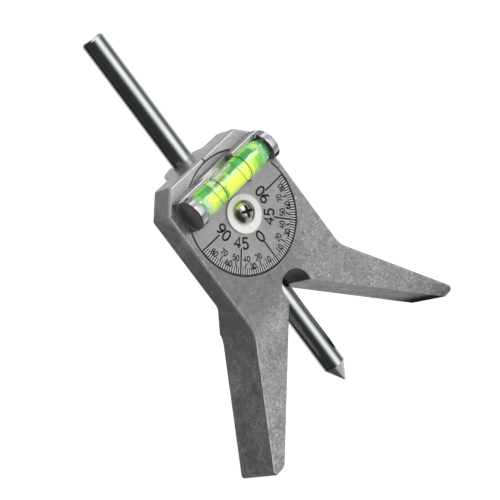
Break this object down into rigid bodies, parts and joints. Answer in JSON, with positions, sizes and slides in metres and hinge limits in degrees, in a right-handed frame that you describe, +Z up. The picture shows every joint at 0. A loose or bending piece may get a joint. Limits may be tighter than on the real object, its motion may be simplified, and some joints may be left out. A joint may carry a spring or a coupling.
{
  "type": "pipe center finder",
  "caption": "Cast Y-shaped head that straddles a pipe, with a sliding center punch and a turning degree dial that carries a level vial.",
  "frame": {"origin": "bottom centre of the bounding box: midway between the feet, on the surface they stand on", "axes": "+Z up along the center punch, +X to the right seen from the dial, +Y from the dial to the back"},
  "size_m": [0.114, 0.036, 0.1692],
  "materials": {
    "cast_aluminium": "tumbled casting, matt and mottled, edges worn bright",
    "punch_steel": "ground and polished",
    "nylon": "natural, matt",
    "black_steel": "blackened",
    "dial_aluminium": "satin, finely brushed",
    "clear_acrylic": "clear, polished",
    "vial_liquid": "clear yellow-green liquid",
    "plug_plastic": "translucent, matt",
    "chrome": "bright plated",
    "screw_steel": "bright nickel plated",
    "washer_steel": "satin white zinc plated",
    "spring_steel": "plain"
  },
  "bodies": {
    "head": {"body": "cast_aluminium", "punch_pad": "nylon", "punch_set_screw": "black_steel", "dial_screw": "screw_steel", "dial_spring": "spring_steel"},
    "punch": {"center_punch": "punch_steel"},
    "dial": {"dial": "dial_aluminium", "dial_washer": "washer_steel", "vial_tube": "clear_acrylic", "vial_liquid": "vial_liquid", "vial_plug_left": "plug_plastic", "vial_plug_right": "plug_plastic", "vial_cap_left": "chrome", "vial_cap_right": "chrome"}
  },
  "joints": [
    {"name": "punch_slide", "type": "slide", "parent": "head", "child": "punch", "axis": [0, 0, 1], "range_m": [-0.055, 0.044]},
    {"name": "dial_turn", "type": "hinge", "parent": "head", "child": "dial", "pos_m": [0, -0.005, 0.0832], "axis": [0, 1, 0], "continuous": true}
  ]
}
